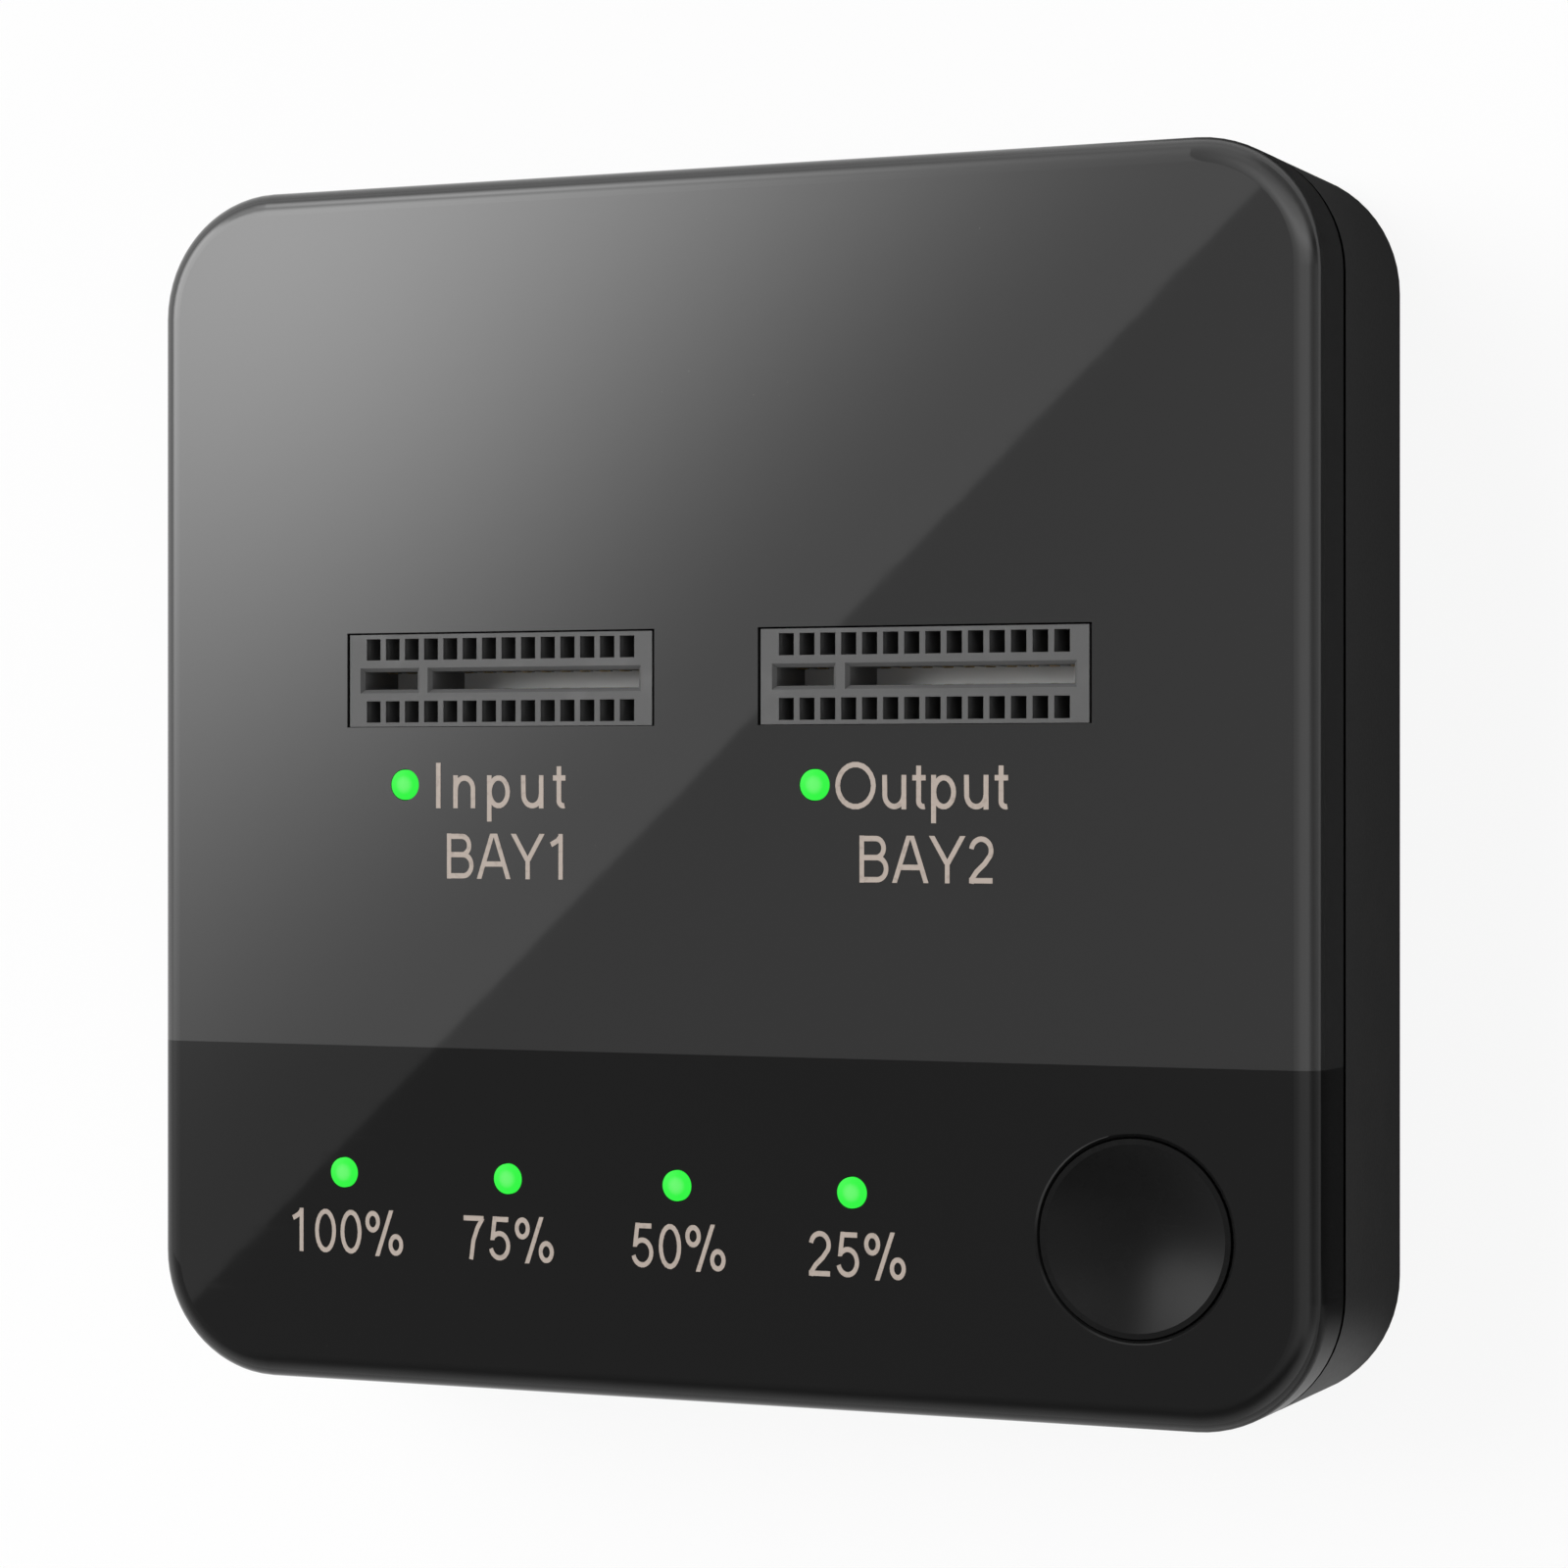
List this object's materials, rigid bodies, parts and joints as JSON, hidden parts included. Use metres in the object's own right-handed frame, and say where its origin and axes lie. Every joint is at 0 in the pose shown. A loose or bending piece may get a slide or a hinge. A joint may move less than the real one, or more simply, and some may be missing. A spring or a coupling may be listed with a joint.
{
  "type": "ssd duplicator dock",
  "caption": "Flat rounded box with two upright M.2 drive sockets, green status and progress lights, and a round dished copy button on a black front strip.",
  "frame": {"origin": "under the middle of the case, on the plane that the feet stand on", "axes": "+Z out of the socket face, +Y to the rear edge with the ports, +X to the right with the button in front"},
  "size_m": [0.0818, 0.08, 0.0199],
  "materials": {
    "cover_plastic": "glossy dark grey moulded plastic",
    "panel_plastic": "glossy black moulded plastic",
    "button_plastic": "satin black moulded plastic",
    "base_plastic": "fine satin black moulded plastic",
    "socket_plastic": "matt grey glass-filled plastic",
    "inner_plastic": "matt black plastic",
    "light_pipe": "clear green plastic",
    "light_chip": "clear resin on white",
    "circuit_board": "green solder resist",
    "contact_metal": "gold plated",
    "steel": "nickel plated steel",
    "aluminium": "drawn can",
    "foot_rubber": "matt black rubber",
    "chip_body": "black moulded epoxy",
    "ceramic": "fired ceramic"
  },
  "bodies": {
    "housing": {"base_shell": "base_plastic", "board_screws": "steel", "bridge_chip": "chip_body", "case_screws": "steel", "chip_capacitors": "ceramic", "chip_leads": "steel", "chip_resistors": "chip_body", "control_panel": "panel_plastic", "crystal": "steel", "dc_centre_pin": "contact_metal", "dc_jack_housing": "inner_plastic", "dc_spring_contact": "contact_metal", "flash_memory": "chip_body", "foot_front_left": "foot_rubber", "foot_front_right": "foot_rubber", "foot_rear_left": "foot_rubber", "foot_rear_right": "foot_rubber", "front_cover": "cover_plastic", "main_board": "circuit_board", "progress_light_chip_1": "light_chip", "progress_light_chip_2": "light_chip", "progress_light_chip_3": "light_chip", "progress_light_chip_4": "light_chip", "progress_light_guide": "light_pipe", "source_capacitor_can": "aluminium", "source_capacitor_plinth": "inner_plastic", "source_inductor": "chip_body", "source_light_chip": "light_chip", "source_light_pipe": "light_pipe", "source_regulator": "chip_body", "source_socket_anchors": "steel", "source_socket_contacts": "contact_metal", "source_socket_housing": "socket_plastic", "switch_base": "inner_plastic", "switch_dome": "steel", "switch_legs": "steel", "switch_plate": "steel", "target_capacitor_can": "aluminium", "target_capacitor_plinth": "inner_plastic", "target_inductor": "chip_body", "target_light_chip": "light_chip", "target_light_pipe": "light_pipe", "target_regulator": "chip_body", "target_socket_anchors": "steel", "target_socket_contacts": "contact_metal", "target_socket_housing": "socket_plastic", "usb_contacts": "contact_metal", "usb_shell": "steel", "usb_tongue": "inner_plastic"},
    "button": {"clone_button": "button_plastic"},
    "stem": {"switch_stem": "inner_plastic"}
  },
  "joints": [
    {"name": "clone_button_press", "type": "slide", "parent": "housing", "child": "button", "axis": [0, 0, -1], "range_m": [0, 0.0003], "stiffness_N_per_m": 800, "springref_m": -0.0005},
    {"name": "switch_stem_press", "type": "slide", "parent": "housing", "child": "stem", "axis": [0, 0, -1], "range_m": [0, 0.0003], "deforming": ["switch_dome"]}
  ],
  "couplings": [
    {"joint": "switch_stem_press", "follows": "clone_button_press", "ratio": 1}
  ]
}
